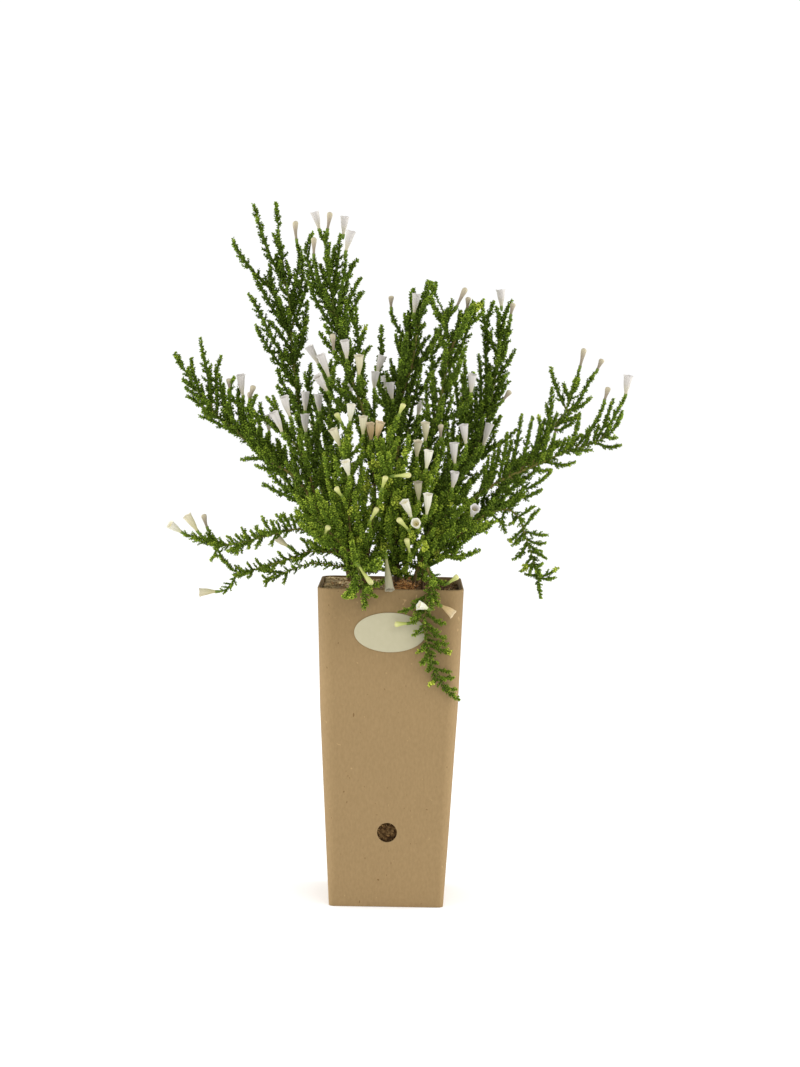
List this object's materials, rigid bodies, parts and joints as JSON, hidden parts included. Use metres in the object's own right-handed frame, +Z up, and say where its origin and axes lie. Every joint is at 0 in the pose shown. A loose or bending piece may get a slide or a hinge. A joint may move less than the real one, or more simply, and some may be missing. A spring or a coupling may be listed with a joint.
{
  "type": "potted false heath",
  "caption": "Flowering false heath with fine leafy stems and slim white trumpets, standing in a tall tapered square board pot.",
  "frame": {"origin": "middle of the pot's foot, on the surface that the pot stands on", "axes": "+Z up, -Y towards the pot's label and front face, +X to the right seen from the front"},
  "size_m": [0.3461, 0.1883, 0.5286],
  "materials": {
    "board": "matte",
    "label_paper": "satin",
    "compost": "matte",
    "foliage": "satin",
    "petals": "satin"
  },
  "bodies": {
    "root": {"pot_sleeve": "board", "pot_floor": "board", "pot_label": "label_paper", "soil": "compost", "spray_tall_left": "foliage", "spray_crown_left": "foliage", "spray_left_arm": "foliage", "spray_low_left": "foliage", "spray_center_tall": "foliage", "spray_center_right": "foliage", "spray_right_tall": "foliage", "spray_right_arm": "foliage", "spray_right_low": "foliage", "spray_right_front": "foliage", "spray_front_bush": "foliage", "spray_front_left": "foliage", "spray_front_over": "foliage", "spray_front_droop": "foliage", "spray_back_left": "foliage", "spray_back_low_left": "foliage", "spray_back_mid": "foliage", "spray_back_right": "foliage", "spray_back_low_right": "foliage", "bloom_01": "petals", "bloom_02": "petals", "bloom_03": "petals", "bloom_04": "petals", "bloom_05": "petals", "bloom_06": "petals", "bloom_07": "petals", "bloom_08": "petals", "bloom_09": "petals", "bloom_10": "petals", "bloom_11": "petals", "bloom_12": "petals", "bloom_13": "petals", "bloom_14": "petals", "bloom_15": "petals", "bloom_16": "petals", "bloom_17": "petals", "bloom_18": "petals", "bloom_19": "petals", "bloom_20": "petals", "bloom_21": "petals", "bloom_22": "petals", "bloom_23": "petals", "bloom_24": "petals", "bloom_25": "petals", "bloom_26": "petals", "bloom_27": "petals", "bloom_28": "petals", "bloom_29": "petals", "bloom_30": "petals", "bloom_31": "petals", "bloom_32": "petals", "bloom_33": "petals", "bloom_34": "petals", "bloom_35": "petals", "bloom_36": "petals", "bloom_37": "petals"}
  },
  "joints": []
}
